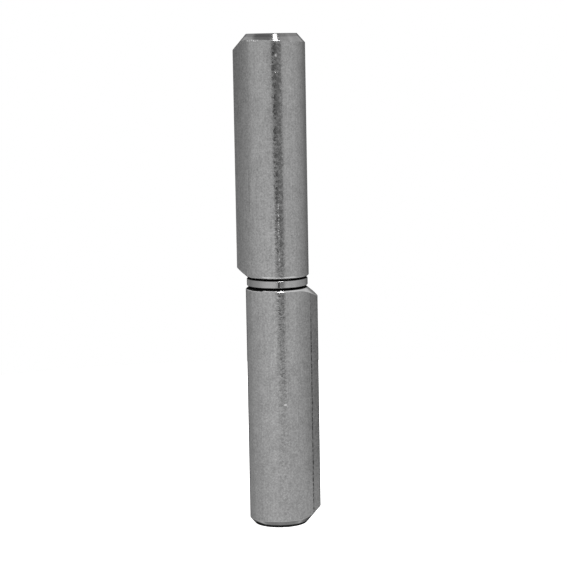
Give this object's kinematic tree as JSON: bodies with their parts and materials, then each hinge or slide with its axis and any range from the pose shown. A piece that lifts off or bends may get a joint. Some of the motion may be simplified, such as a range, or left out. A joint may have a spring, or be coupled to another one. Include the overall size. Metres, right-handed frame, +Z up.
{
  "type": "weld on barrel hinge",
  "caption": "Lift-off barrel hinge: two drawn teardrop steel knuckles with weld noses, a fixed pin and a bearing washer, for welding to a frame and a gate or door.",
  "frame": {"origin": "on the pin axis, half way up the closed hinge, which is the centre of the part's box", "axes": "+Z up along the pin axis, +X towards the weld nose of the lower knuckle, -X towards the weld nose of the upper knuckle at rest"},
  "size_m": [0.0228, 0.018, 0.14],
  "materials": {
    "knuckle_steel": "satin",
    "pin_steel": "ground, satin",
    "washer_steel": "turned, satin"
  },
  "bodies": {
    "lower": {"lower_knuckle": "knuckle_steel", "hinge_pin": "pin_steel"},
    "washer": {"bearing_washer": "washer_steel"},
    "upper": {"upper_knuckle": "knuckle_steel"}
  },
  "joints": [
    {"name": "swing", "type": "hinge", "parent": "lower", "child": "washer", "pos_m": [0, 0, 0], "axis": [0, 0, 1], "continuous": true},
    {"name": "lift_off", "type": "slide", "parent": "washer", "child": "upper", "axis": [0, 0, 1], "range_m": [0, 0.045]}
  ]
}
